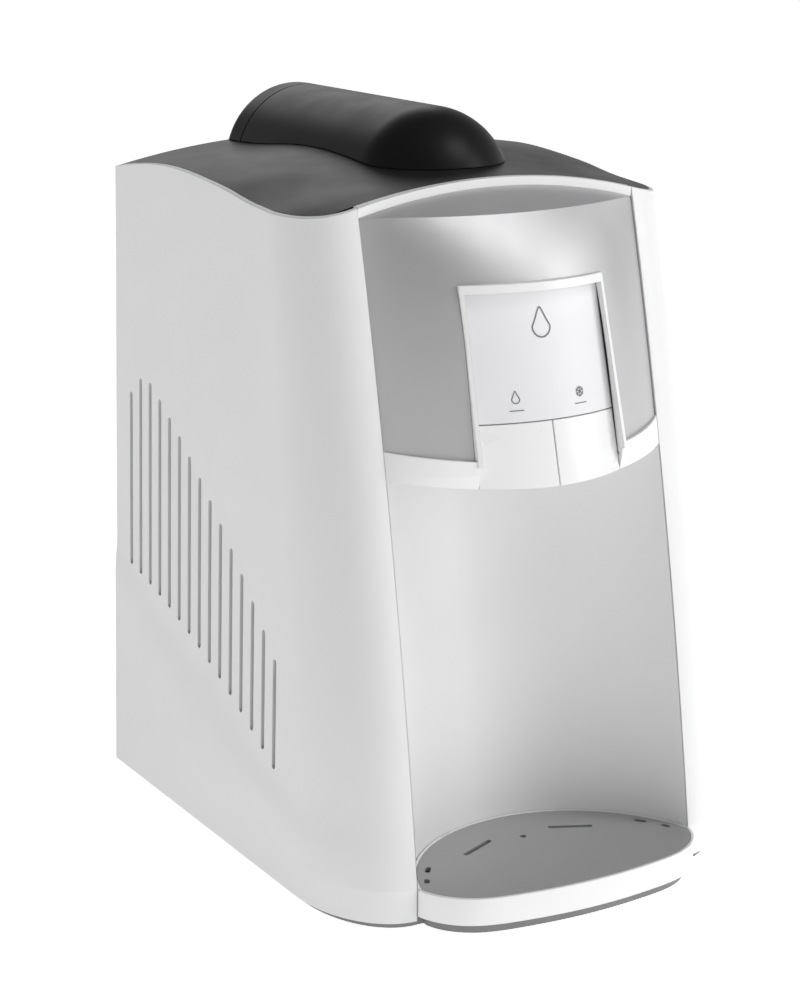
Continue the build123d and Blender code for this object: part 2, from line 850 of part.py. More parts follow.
spout_top = valve_z + nipple_radius + 2
spout_wall = 3.0
spout = rod_z(0, spout_y, cavity_height - spout_drop, spout_top, spout_radius)
spout += rod_z(0, spout_y, cavity_height - 1.8, cavity_height, spout_radius + 4)
spout -= rod_z(0, spout_y, 0, spout_top - spout_wall + 1.5, spout_radius - spout_wall)
spout -= rod_x(spout_y, valve_z, -valve_x, valve_x, nipple_radius + push_fit)
save("spout", spout)

# ---- base pan and feet ----


tray_back_gap = 0.8
tray_curve = [(0.0, 1.0), (0.5, 0.895), (0.815, 0.645), (0.945, 0.316), (1.0, 0.0)]


def front_outline(z, inset):
    """Outline of the tray's bulging front, as shares of its half width and reach."""
    half = seam_half(0) - gap - inset
    reach = tray_reach - inset - tray_back_gap
    left = [(-across * half, out) for across, out in reversed(tray_curve[1:])]
    right = [(across * half, out) for across, out in tray_curve]
    return Spline(*[(x, -out * reach - tray_back_gap, z) for x, out in left + right])


def front_block(low, high, inset, back_y):
    half = seam_half(0) - gap - inset
    face = closed_face([
        front_outline(low, inset),
        Line((half, -tray_back_gap, low), (half, back_y, low)),
        Line((half, back_y, low), (-half, back_y, low)),
        Line((-half, back_y, low), (-half, -tray_back_gap, low)),
    ])
    return extrude(face, amount=high - low, dir=(0, 0, 1))


def pan_block(low, high, inset):
    outline = extrude(body_outline(pan_top, wall + gap + inset), amount=high - low, dir=(0, 0, 1))
    return Pos(0, 0, low - pan_top) * outline + front_block(low, high, pan_setback + inset, 30)


pan = pan_block(pan_bottom, pan_top, 0) - pan_block(pan_bottom - 1, pan_top - pan_plate, 3)
foot_x = width / 2 - 30
foot_places = [(-foot_x, 40), (foot_x, 40), (-foot_x, body_depth - 30), (foot_x, body_depth - 30)]
save("base_pan", pan)
feet = Part()
for x, y in foot_places:
    feet += Pos(x, y, 0) * Cone(foot_radius - 1.5, foot_radius, foot_height,
                                align=(Align.CENTER, Align.CENTER, Align.MIN))
save("rubber_feet", feet)

# ---- drip tray and grille ----


def cavity_floor_block(low, high, inset):
    """What fits inside the concave wall, behind the seam."""
    half = liner_half(0) - tray_back_gap - inset
    depth = cavity_sagitta - tray_back_gap - inset
    overlap = tray_back_gap + 2
    face = closed_face([
        ThreePointArc((-half, 0, low), (0, depth, low), (half, 0, low)),
        Line((half, 0, low), (half, -overlap, low)),
        Line((half, -overlap, low), (-half, -overlap, low)),
        Line((-half, -overlap, low), (-half, 0, low)),
    ])
    return extrude(face, amount=high - low, dir=(0, 0, 1))


def tray_block(low, high, inset):
    return front_block(low, high, inset, -tray_back_gap / 2) + cavity_floor_block(low, high, inset)


rim = 1.6
ledge = 3.2
grille_low = tray_top - grille_thickness - 0.2
tray = tray_block(tray_bottom, tray_top, 0)
tray -= tray_block(grille_low - 0.1, tray_top + 1, rim)
tray -= tray_block(tray_bottom + tray_wall, tray_top, rim + ledge)
save("drip_tray", tray)

grille = tray_block(grille_low, grille_low + grille_thickness, rim + 0.3)
slot_centre = -34.0           # of the two arcs that the openings lie on
slot_radius = 76.0
outer_slot_radius = 92.0
slot_width = 3.2
grille_cuts = []


def grille_hole(radius, angle, length, hole_width):
    """Hole along an arc of openings, at an angle from straight back."""
    turn = radians(angle)
    x = radius * sin(turn)
    y = slot_centre + radius * cos(turn)
    if length > hole_width:
        shape = SlotOverall(length, hole_width)
    else:
        shape = Circle(hole_width / 2)
    return Pos(x, y, 0) * Rot(0, 0, -angle) * extrude(shape, amount=tray_top + 5)


for side in (-1, 1):
    grille_cuts.append(grille_hole(slot_radius, side * 25, 27, slot_width))
    grille_cuts.append(grille_hole(outer_slot_radius, side * 53, 8, slot_width))
    grille_cuts.append(grille_hole(outer_slot_radius, side * 63, 6, slot_width))
grille_cuts.append(grille_hole(slot_radius - 6, 0, 4, 4))
grille = grille - grille_cuts
save("drip_grille", grille)

# ---- filter cover ----

outer_capsule = capsule(cover_radius, cover_front, cover_back, cover_rounding)
inner_capsule = capsule(cover_radius - cover_wall, cover_front + cover_wall,
                        cover_back - cover_wall, cover_rounding - cover_wall)
groove_y = cover_back - 24
groove = rod_y(0, cover_axis_height, groove_y, groove_y + 1.2, cover_radius + 1)
groove -= rod_y(0, cover_axis_height, groove_y - 1, groove_y + 3, cover_radius - 1)
filter_cover = outer_capsule - inner_capsule - crowned_block(-cover_seat) - groove
save("filter_cover", filter_cover)

# ---- filter, its cradle and head ----

filter_axis = cover_axis_height
neck_start = cartridge_front + cartridge_length
cartridge = rod_y(0, filter_axis, cartridge_front, neck_start, cartridge_radius)
cartridge = fillet(cartridge.edges().filter_by(GeomType.CIRCLE), 5)
neck = rod_y(0, filter_axis, neck_start - 1, neck_start + neck_length, neck_radius)
seal_places = (neck_start + 12, neck_start + 18)
seal_wire = 1.4
for y in seal_places:
    neck -= Pos(0, y, filter_axis) * Rot(90, 0, 0) * Torus(neck_radius, seal_wire)
lugs = box_between((-neck_radius - 4, neck_start + 2.5, filter_axis - 3),
                   (neck_radius + 4, neck_start + 6.5, filter_axis + 3))
lugs &= rod_y(0, filter_axis, neck_start, neck_start + 10, neck_radius + 4)
grip = box_between((-4, cartridge_front - 5, filter_axis - 24),
                   (4, cartridge_front + 4, filter_axis + 24))
cartridge = cartridge + neck + lugs + grip
save("filter_cartridge", cartridge)

head_start = neck_start + 0.8
head_end = head_start + head_length
filter_head = rod_y(0, filter_axis, head_start, head_end, collar_radius)
filter_head -= rod_y(0, filter_axis, head_start - 1, neck_start + neck_length + 0.8,
                     neck_radius + 0.05)
filter_head -= rod_y(0, filter_axis, neck_start + 2, neck_start + 7, neck_radius + 4.5)
filter_head -= box_between((-3.6, head_start - 1, filter_axis), (3.6, neck_start + 3,
                                                                filter_axis + neck_radius + 4.5))
filter_head -= box_between((-3.6, head_start - 1, filter_axis - neck_radius - 4.5),
                           (3.6, neck_start + 3, filter_axis))
port_y = head_end - 6
for side in (-1, 1):
    filter_head += rod_z(side * 11, port_y, filter_axis - collar_radius - 8,
                         filter_axis - neck_radius - 0.5, water_tube_radius + 2)
    filter_head -= rod_z(side * 11, port_y, filter_axis - collar_radius - 9, filter_axis - 4,
                         water_tube_radius + push_fit)
save("filter_head", filter_head)

seals = Part()
for y in seal_places:
    seals += Pos(0, y, filter_axis) * Rot(90, 0, 0) * Torus(neck_radius - 0.02, seal_wire - 0.06)
seals &= rod_y(0, filter_axis, neck_start, head_end, neck_radius + 0.02)
save("cartridge_seals", seals)

cradle_radius = cartridge_radius + cradle_gap
cradle_wall = 2.5
cradle = rod_y(0, filter_axis, bay_front + 3, bay_back - 3, bay_half + 9)
cradle &= box_between((-bay_half - 3, 0, filter_axis - cradle_radius - cradle_wall),
                      (bay_half + 3, body_depth, casing_top))
cradle &= crowned_block(lid_thickness + 0.05)
cradle -= rod_y(0, filter_axis, 0, neck_start + 0.4, cradle_radius)
cradle -= box_between((-cradle_radius, 0, filter_axis), (cradle_radius, body_depth, casing_top))
cradle -= rod_y(0, filter_axis, neck_start + 0.2, head_end + 2, collar_radius)
cradle -= box_between((-collar_radius, neck_start + 0.2, filter_axis),
                      (collar_radius, head_end + 2, casing_top))
for side in (-1, 1):
    cradle -= rod_z(side * 11, port_y, 0, filter_axis, water_tube_radius + 2.3)
cradle -= box_between((-bay_half - 9, head_end + 2, 0), (bay_half + 9, body_depth, casing_top))
save("filter_cradle", cradle)

# ---- cold tank ----

tank_y = body_depth - 122
tank_top = tank_floor + tank_height
tank_wall = 1.0
jacket_radius = tank_radius + insulation
coil_radius = refrigerant_tube_radius
tank = rod_z(0, tank_y, tank_floor, tank_top, tank_radius)
tank -= rod_z(0, tank_y, tank_floor + tank_wall, tank_top + 1, tank_radius - tank_wall)
tank_outlet_z = tank_floor + 14
tank += rod_y(0, tank_outlet_z, tank_y - tank_radius - 16, tank_y - tank_radius + 2, 4.5)
tank -= rod_y(0, tank_outlet_z, tank_y - tank_radius - 17, tank_y, water_tube_radius + push_fit)
save("cold_tank", tank)
lid_disc = rod_z(0, tank_y, tank_top, tank_top + 4, tank_radius + 2)
lid_disc += rod_z(0, tank_y, tank_top - 3, tank_top, tank_radius - tank_wall - 0.1)
for side in (-1, 1):
    lid_disc += rod_z(side * 11, tank_y, tank_top + 4, tank_top + 14, water_tube_radius + 2)
    lid_disc -= rod_z(side * 11, tank_y, tank_top - 4, tank_top + 15, water_tube_radius + push_fit)
save("tank_lid", lid_disc)

coil = Part()
coil_turns = 9
coil_pitch = 2 * coil_radius + 5
for turn in range(coil_turns):
    coil += Pos(0, tank_y, tank_floor + 22 + turn * coil_pitch) * Torus(
        tank_radius + coil_radius + 0.05, coil_radius)
save("evaporator_coil", coil)

jacket = rod_z(0, tank_y, tank_floor - insulation, tank_top + 2, jacket_radius)
jacket -= rod_z(0, tank_y, tank_floor - 0.05, tank_top + 3, tank_radius + 2 * coil_radius + 0.4)
jacket -= rod_y(0, tank_outlet_z, tank_y - jacket_radius - 1, tank_y, 4.7)
pipe_z = tank_floor + 22
jacket -= box_between((-8, tank_y, pipe_z - 4), (8, tank_y + jacket_radius + 1, tank_top + 3))
front_half = jacket & box_between((-200, tank_y - 200, 0), (200, tank_y - 0.15, 900))
rear_half_of_jacket = jacket & box_between((-200, tank_y + 0.15, 0), (200, tank_y + 200, 900))
save("insulation_front", front_half)
save("insulation_rear", rear_half_of_jacket)

# a bracket on the base pan holds the insulated tank over the compressor
bracket_half = jacket_radius + 6
bracket_low = pan_top
bracket_high = tank_floor - insulation
compressor_y = body_depth - compressor_from_back
bracket = box_between((-bracket_half, tank_y - 50, bracket_high - 2),
                      (bracket_half, tank_y + 62, bracket_high))
for side in (-1, 1):
    x = side * bracket_half
    bracket += box_between((min(x, x - side * 2), tank_y - 50, bracket_low),
                           (max(x, x - side * 2), tank_y + 62, bracket_high))
    bracket += box_between((min(x, x + side * 14), tank_y - 50, bracket_low),
                           (max(x, x + side * 14), tank_y + 62, bracket_low + 2))
save("tank_bracket", bracket)

# ---- compressor and condenser ----

grommet_height = 8.0
compressor_low = pan_top + grommet_height
shell_top = min(compressor_low + compressor_height, bracket_high - 14)
shell = rod_z(0, compressor_y, compressor_low + 6, shell_top, compressor_radius)
shell = fillet(shell.edges().filter_by(GeomType.CIRCLE), 20)
plate_half = compressor_radius + 2
base_plate = box_between((-plate_half, compressor_y - 50, compressor_low),
                         (plate_half, compressor_y + 50, compressor_low + 2.5))
mount_places = [(sx * (plate_half - 9), compressor_y + sy * 41) for sx in (-1, 1) for sy in (-1, 1)]
for x, y in mount_places:
    base_plate -= rod_z(x, y, 0, 100, 4.0)
stub_z = shell_top - 40
stub_x = 24.0
stub_y = compressor_y + compressor_radius - 4
feet_block = box_between((-30, compressor_y - 30, compressor_low + 1),
                         (30, compressor_y + 30, compressor_low + 12))
compressor = shell + base_plate + feet_block
for side in (-1, 1):
    compressor += rod_y(side * stub_x, stub_z, compressor_y, stub_y + 6,
                        refrigerant_tube_radius + 0.8)
    compressor -= rod_y(side * stub_x, stub_z, stub_y - 6, stub_y + 7,
                        refrigerant_tube_radius + push_fit)
save("compressor", compressor)

grommets = Part()
bolts = Part()
for x, y in mount_places:
    grommet = rod_z(x, y, pan_top, compressor_low, 7.5) + rod_z(
        x, y, compressor_low, compressor_low + 2.5, 3.9)
    grommet += rod_z(x, y, compressor_low + 2.5, compressor_low + 5, 6.5)
    grommets += grommet - rod_z(x, y, 0, 60, 2.5)
    bolts += rod_z(x, y, pan_top - pan_plate, compressor_low + 8, 2.4)
    bolts += rod_z(x, y, compressor_low + 5.05, compressor_low + 9, 4.5)
save("compressor_grommets", grommets)
for x, y in mount_places:
    bolts -= rod_z(x, y, 0, pan_top, 2.45)
save("compressor_bolts", bolts)

tube_y = rear_face - condenser_gap
tube_half = 84.0
tube_pitch = 26.0
tube_rows = int((lid_edge_height - 60 - louvre_low) / tube_pitch)
tube_rows -= (tube_rows + 1) % 2
drier_x = tube_half + 14
drier_radius = 8.0
drier_length = 60.0
drier_drop = 20.0
serpentine = []
for row in range(tube_rows):
    z = louvre_low + row * tube_pitch
    ends = (-tube_half, tube_half) if row % 2 == 0 else (tube_half, -tube_half)
    serpentine += [(ends[0], tube_y, z), (ends[1], tube_y, z)]
condenser_top = serpentine[-1][2]
drier_top = condenser_top - drier_drop
serpentine += [(drier_x, tube_y, condenser_top), (drier_x, tube_y, drier_top + 2)]
row_bend = tube_pitch / 2 - 0.01
del serpentine[-3]
condenser_bends = [row_bend] * (len(serpentine) - 3) + [9.0]
condenser = tube(serpentine, refrigerant_tube_radius, condenser_bends)
wire_count = 17
wires = Part()
for index in range(wire_count):
    x = -tube_half + 16 + (2 * tube_half - 32) * index / (wire_count - 1)
    wires += rod_z(x, tube_y + refrigerant_tube_radius + condenser_wire_radius * 0.7,
                   louvre_low - 6, condenser_top + 6, condenser_wire_radius)
condenser = condenser + wires
save("condenser", condenser)

bracket_bars = Part()
wire_back = tube_y + refrigerant_tube_radius + 1.7 * condenser_wire_radius
for z in (louvre_low + tube_pitch / 2, condenser_top - tube_pitch / 2):
    for side in (-1, 1):
        x_low, x_high = sorted((side * (tube_half - 30), side * (rear_half(z) - 1)))
        bracket_bars += box_between((x_low, wire_back + 0.02, z - 5),
                                    (x_high, rear_face - wall - 0.05, z + 5))
save("condenser_brackets", bracket_bars)

drier_low = drier_top - drier_length
drier = rod_z(drier_x, tube_y, drier_low, drier_top, drier_radius)
drier = fillet(drier.edges().filter_by(GeomType.CIRCLE), 5)
drier -= rod_z(drier_x, tube_y, drier_top - 1, drier_top + 9, refrigerant_tube_radius + push_fit)
save("filter_drier", drier)

# ---- refrigerant lines ----

line_bend = 7.0
line_y = stub_y + 15
line_x = tube_half + 16
socket = 5.0
discharge = tube([
    (-stub_x, stub_y - socket + 2, stub_z),
    (-stub_x, line_y, stub_z),
    (-line_x, line_y, stub_z),
    (-line_x, line_y, louvre_low),
    (-tube_half - 1.5, tube_y, louvre_low),
], refrigerant_tube_radius, (line_bend, line_bend, 5.0))
save("discharge_line", discharge)
suction_x = 4.0
suction_z = pipe_z + 12
coil_outer = tank_radius + 2 * coil_radius + 0.3
suction = tube([
    (stub_x, stub_y - socket + 2, stub_z),
    (stub_x, line_y, stub_z),
    (suction_x, line_y, stub_z),
    (suction_x, line_y, suction_z),
    (suction_x, tank_y + coil_outer, suction_z),
], refrigerant_tube_radius, line_bend)
save("suction_line", suction)
capillary_radius = 1.0
capillary_y = line_y - 8
capillary_z = pipe_z + 1
capillary = tube([
    (drier_x, tube_y, drier_low),
    (drier_x, tube_y, capillary_z),
    (drier_x, capillary_y, capillary_z),
    (-suction_x, capillary_y, capillary_z),
    (-suction_x, tank_y + coil_outer, capillary_z),
], capillary_radius, line_bend)
save("capillary_line", capillary)

# ---- rear fittings ----

inlet_bore = 3.2
inlet_depth = 14.0
fitting_out = body_depth - 0.5
inlet = rod_y(inlet_x, service_z, rear_face - 14, rear_face - gap, 12)
inlet += rod_y(inlet_x, service_z, rear_face - 30, rear_face - 13, 6)
inlet += rod_y(inlet_x, service_z, rear_face - gap - 1, fitting_out, inlet_flange)
inlet -= rod_y(inlet_x, service_z, fitting_out - inlet_depth, body_depth + 1, inlet_bore)
inlet -= rod_y(inlet_x, service_z, rear_face - 31, rear_face - 20, water_tube_radius + push_fit)
inlet -= rod_y(inlet_x, service_z, rear_face - 31, body_depth, inlet_bore - 1)
save("inlet_fitting", inlet)

gland = rod_y(gland_x, service_z, rear_face - 12, fitting_out, gland_radius)
gland += rod_y(gland_x, service_z, rear_face - 5, rear_face - 0.1, gland_radius + 3)
gland -= rod_y(gland_x, service_z, rear_face - 20, body_depth + 2, 3.6)
save("power_gland", gland)

drain = rod_y(drain_x, service_z, rear_face - 16, rear_face - 0.1, drain_radius - 2)
drain += rod_y(drain_x, service_z, rear_face - 3, fitting_out, drain_radius)
drain -= box_between((drain_x - 5, fitting_out - 1.6, service_z - 1),
                     (drain_x + 5, fitting_out + 2, service_z + 1))
save("drain_plug", drain)

thermostat = box_between((knob_x - 16, rear_face - 34, service_z - 16),
                         (knob_x + 16, rear_face - 8, service_z + 16))
thermostat -= rod_y(knob_x, service_z, rear_face - 22, rear_face, knob_shaft + 0.05)
for side in (-1, 1):
    lug = box_between((knob_x - 20, rear_face - 9, service_z + side * 12 - 3),
                      (knob_x + 20, rear_face - 0.1, service_z + side * 12 + 3))
    thermostat += lug
thermostat -= rod_y(knob_x, service_z, rear_face - 8.1, rear_face + 1, 8.5)
save("thermostat", thermostat)
knob = rod_y(knob_x, service_z, rear_face - 20, rear_face - 5, knob_shaft)
knob += rod_y(knob_x, service_z, rear_face - 5, body_depth - 1.2, knob_shaft + 0.8)
knob -= box_between((knob_x - 0.6, body_depth - 2.6, service_z - 3),
                    (knob_x + 0.6, body_depth, service_z + 3))
save("thermostat_knob", knob)

# ---- electrical boxes ----

starter_low = compressor_low + 44
starter = box_between((compressor_radius - 9, compressor_y - 22, starter_low),
                      (compressor_radius + 12, compressor_y + 22, starter_low + 45))
starter -= rod_z(0, compressor_y, 0, casing_top, compressor_radius + 0.05)
save("starter_box", starter)
board_half = 30.0
board_low = carrier_low + 50
board = leaning_plate(board_half, board_low, board_low + 34, carrier_thickness + 4,
                      carrier_thickness + 5.6)
for x in (-board_half + 5, board_half - 5):
    for z in (board_low + 5, board_low + 29):
        board += rod_y(x, z, carrier_front(z) + carrier_thickness - 0.4,
                       carrier_front(z) + carrier_thickness + 4.6, 1.5) - leaning_plate(
                           board_half, board_low, board_low + 34, 0, carrier_thickness)
save("control_board", board)

# ---- water lines ----

run_z = (tank_top + 14 + filter_axis - cradle_radius - cradle_wall) / 2
run_y = seam_line(cavity_height) + cavity_sagitta + 17
inlet_line = tube([
    (inlet_x, rear_face - 26, service_z),
    (inlet_x, rear_face - 50, service_z),
    (inlet_x, rear_face - 50, run_z),
    (-11, port_y, run_z),
    (-11, port_y, filter_axis - 12),
], water_tube_radius, (10.0, 10.0, 7.0))
save("inlet_line", inlet_line)
filter_line = tube([
    (11, port_y, filter_axis - 12),
    (11, port_y, run_z),
    (11, tank_y, run_z),
    (11, tank_y, tank_top + 2),
], water_tube_radius, 7.0)
save("filter_line", filter_line)
natural_line = tube([
    (-11, tank_y, tank_top + 2),
    (-11, tank_y, run_z),
    (-valve_x, run_y, run_z),
    (-valve_x, run_y, valve_z),
    (-valve_x, valve_back + 2, valve_z),
], water_tube_radius, 8.0)
save("natural_line", natural_line)
cold_y = tank_y - jacket_radius - 16
cold_line = tube([
    (0, tank_y - tank_radius - 4, tank_outlet_z),
    (0, cold_y, tank_outlet_z),
    (0, cold_y, valve_z),
    (valve_x, run_y - 10, valve_z),
    (valve_x, valve_back + 2, valve_z),
], water_tube_radius, 8.0)
save("cold_line", cold_line)
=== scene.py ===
import bpy
import json
from math import cos, radians, sin
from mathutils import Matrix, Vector


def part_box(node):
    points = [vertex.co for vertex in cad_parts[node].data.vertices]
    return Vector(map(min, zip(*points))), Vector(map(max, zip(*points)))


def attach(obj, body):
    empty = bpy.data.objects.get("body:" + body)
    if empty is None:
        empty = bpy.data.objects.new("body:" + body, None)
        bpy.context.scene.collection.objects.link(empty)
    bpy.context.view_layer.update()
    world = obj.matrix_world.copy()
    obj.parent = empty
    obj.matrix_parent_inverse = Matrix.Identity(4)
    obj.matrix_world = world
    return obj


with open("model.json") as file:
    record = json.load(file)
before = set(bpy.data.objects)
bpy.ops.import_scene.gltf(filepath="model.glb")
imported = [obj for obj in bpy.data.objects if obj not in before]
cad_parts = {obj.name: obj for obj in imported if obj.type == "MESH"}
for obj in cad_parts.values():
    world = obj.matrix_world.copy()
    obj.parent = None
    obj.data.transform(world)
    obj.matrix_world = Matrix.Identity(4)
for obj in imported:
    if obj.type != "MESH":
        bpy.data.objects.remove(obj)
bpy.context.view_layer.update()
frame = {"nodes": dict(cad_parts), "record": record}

nodes = frame["nodes"]
print("frame loaded:", len(nodes), "nodes")

# the camera stands in front, to the left of the dispenser and a little above it
cameraSettings = {
    "place": (-0.7334, -1.2446, 0.5874),
    "turn": -29.78,
    "tilt": 14.87,
    "lens": 88.93,
    "farEnd": 50,
}


def placeCamera(settings):
    bpy.ops.object.camera_add(
        location=settings["place"],
        rotation=(radians(90 - settings["tilt"]), 0, radians(settings["turn"])),
    )
    camera = bpy.context.object
    camera.name = "mainCamera"
    camera.data.sensor_width = 36
    camera.data.lens = settings["lens"]
    camera.data.clip_end = settings["farEnd"]
    bpy.context.scene.camera = camera


placeCamera(cameraSettings)

# each lamp: place, what it points at, width, height, power
lampSettings = {
    "rightPanel": ((1.75, -1.5, 1.1), (0, 0, 0.22), 0.7, 1.5, 17),
    "frontPanel": ((1.2, -1.5, 2.9), (0, 0, 0.2), 1.4, 1.2, 26),
    "rearPanel": ((0.6, 2.4, 1.6), (0, 0, 0.25), 1.8, 1.0, 8),
}


def hangLamp(name, place, target, width, height, power):
    bpy.ops.object.light_add(type="AREA", location=place)
    lamp = bpy.context.object
    lamp.name = name
    lamp.data.shape = "RECTANGLE"
    lamp.data.size = width
    lamp.data.size_y = height
    lamp.data.energy = power
    aim = Vector(target) - Vector(place)
    lamp.rotation_euler = aim.to_track_quat("-Z", "Y").to_euler()


for lampName, lampValues in lampSettings.items():
    hangLamp(lampName, *lampValues)

# the studio is bright near the floor and dimmer overhead, so that glossy tops keep their depth
studioSettings = {"low": (1.0, 1.0, 1.0, 1), "high": (0.22, 0.22, 0.23, 1), "from": 0.10,
                  "to": 0.6, "strength": 0.56}


def lightStudio(settings):
    world = bpy.data.worlds.new("studioWorld")
    bpy.context.scene.world = world
    world.use_nodes = True
    tree = world.node_tree
    ground = tree.nodes["Background"]
    direction = tree.nodes.new("ShaderNodeTexCoord")
    parts = tree.nodes.new("ShaderNodeSeparateXYZ")
    height = tree.nodes.new("ShaderNodeMapRange")
    height.inputs["From Min"].default_value = settings["from"]
    height.inputs["From Max"].default_value = settings["to"]
    colours = tree.nodes.new("ShaderNodeMix")
    colours.data_type = "RGBA"
    colours.inputs["A"].default_value = settings["low"]
    colours.inputs["B"].default_value = settings["high"]
    tree.links.new(direction.outputs["Generated"], parts.inputs["Vector"])
    tree.links.new(parts.outputs["Z"], height.inputs["Value"])
    tree.links.new(height.outputs["Result"], colours.inputs["Factor"])
    tree.links.new(colours.outputs["Result"], ground.inputs["Color"])
    ground.inputs["Strength"].default_value = settings["strength"]
    bpy.context.scene.view_settings.view_transform = "Standard"


lightStudio(studioSettings)
print("camera and lamps placed")


def newMaterial(name):
    material = bpy.data.materials.new(name)
    material.use_nodes = True
    tree = material.node_tree
    return material, tree, tree.nodes["Principled BSDF"]


def objectPoint(tree, scale=(1, 1, 1)):
    coordinates = tree.nodes.new("ShaderNodeTexCoord")
    mapping = tree.nodes.new("ShaderNodeMapping")
    mapping.inputs["Scale"].default_value = scale
    tree.links.new(coordinates.outputs["Object"], mapping.inputs["Vector"])
    return mapping.outputs["Vector"]


def noise(tree, point, scale, detail=3.0, roughness=0.5):
    node = tree.nodes.new("ShaderNodeTexNoise")
    node.inputs["Scale"].default_value = scale
    node.inputs["Detail"].default_value = detail
    node.inputs["Roughness"].default_value = roughness
    tree.links.new(point, node.inputs["Vector"])
    return node.outputs["Fac"]


def spread(tree, value, low, high, start=0.3, end=0.7):
    node = tree.nodes.new("ShaderNodeMapRange")
    node.inputs["From Min"].default_value = start
    node.inputs["From Max"].default_value = end
    node.inputs["To Min"].default_value = low
    node.inputs["To Max"].default_value = high
    tree.links.new(value, node.inputs["Value"])
    return node.outputs["Result"]


def twoColours(tree, value, dark, light):
    node = tree.nodes.new("ShaderNodeMix")
    node.data_type = "RGBA"
    node.inputs["A"].default_value = (*dark, 1)
    node.inputs["B"].default_value = (*light, 1)
    tree.links.new(value, node.inputs["Factor"])
    return node.outputs["Result"]


def relief(tree, shader, height, strength, distance, edge):
    bump = tree.nodes.new("ShaderNodeBump")
    bump.inputs["Strength"].default_value = strength
    bump.inputs["Distance"].default_value = distance
    tree.links.new(height, bump.inputs["Height"])
    if edge > 0:  # a moulding's edges are never quite sharp
        rounding = tree.nodes.new("ShaderNodeBevel")
        rounding.samples = 4
        rounding.inputs["Radius"].default_value = edge
        tree.links.new(rounding.outputs["Normal"], bump.inputs["Normal"])
    tree.links.new(bump.outputs["Normal"], shader.inputs["Normal"])


# moulded plastic: faint colour drift, uneven gloss and a fine spark-eroded grain
mouldSettings = {"driftScale": 9.0, "smearScale": 38.0, "grainStrength": 0.3, "edge": 0.0005,
                 "shine": 0.5, "coatRough": 0.12}


def mouldedFinish(name, settings):
    material, tree, shader = newMaterial(name)
    point = objectPoint(tree)
    drift = noise(tree, point, mouldSettings["driftScale"], 2.0)
    colour = twoColours(tree, drift, settings["dark"], settings["light"])
    tree.links.new(colour, shader.inputs["Base Color"])
    smear = noise(tree, point, mouldSettings["smearScale"], 4.0, 0.6)
    tree.links.new(spread(tree, smear, *settings["rough"]), shader.inputs["Roughness"])
    grain = noise(tree, point, settings["grain"], 2.0, 0.6)
    relief(tree, shader, grain, mouldSettings["grainStrength"], settings["depth"],
           settings.get("edge", mouldSettings["edge"]))
    shader.inputs["Metallic"].default_value = settings.get("metal", 0.0)
    shine = settings.get("shine", mouldSettings["shine"])
    shader.inputs["Specular IOR Level"].default_value = shine
    shader.inputs["Coat Weight"].default_value = settings.get("coat", 0.0)
    shader.inputs["Coat Roughness"].default_value = mouldSettings["coatRough"]
    return material


# drawn or rolled metal: fine streaks along one direction
streakSettings = {"scale": 60.0, "strength": 0.25, "depth": 0.00015}


def drawnMetal(name, settings):
    material, tree, shader = newMaterial(name)
    point = objectPoint(tree, scale=settings["streaks"])
    streak = noise(tree, point, streakSettings["scale"], 4.0, 0.7)
    colour = twoColours(tree, streak, settings["dark"], settings["light"])
    tree.links.new(colour, shader.inputs["Base Color"])
    tree.links.new(spread(tree, streak, *settings["rough"]), shader.inputs["Roughness"])
    relief(tree, shader, streak, streakSettings["strength"], streakSettings["depth"], 0)
    shader.inputs["Metallic"].default_value = 1.0
    return material


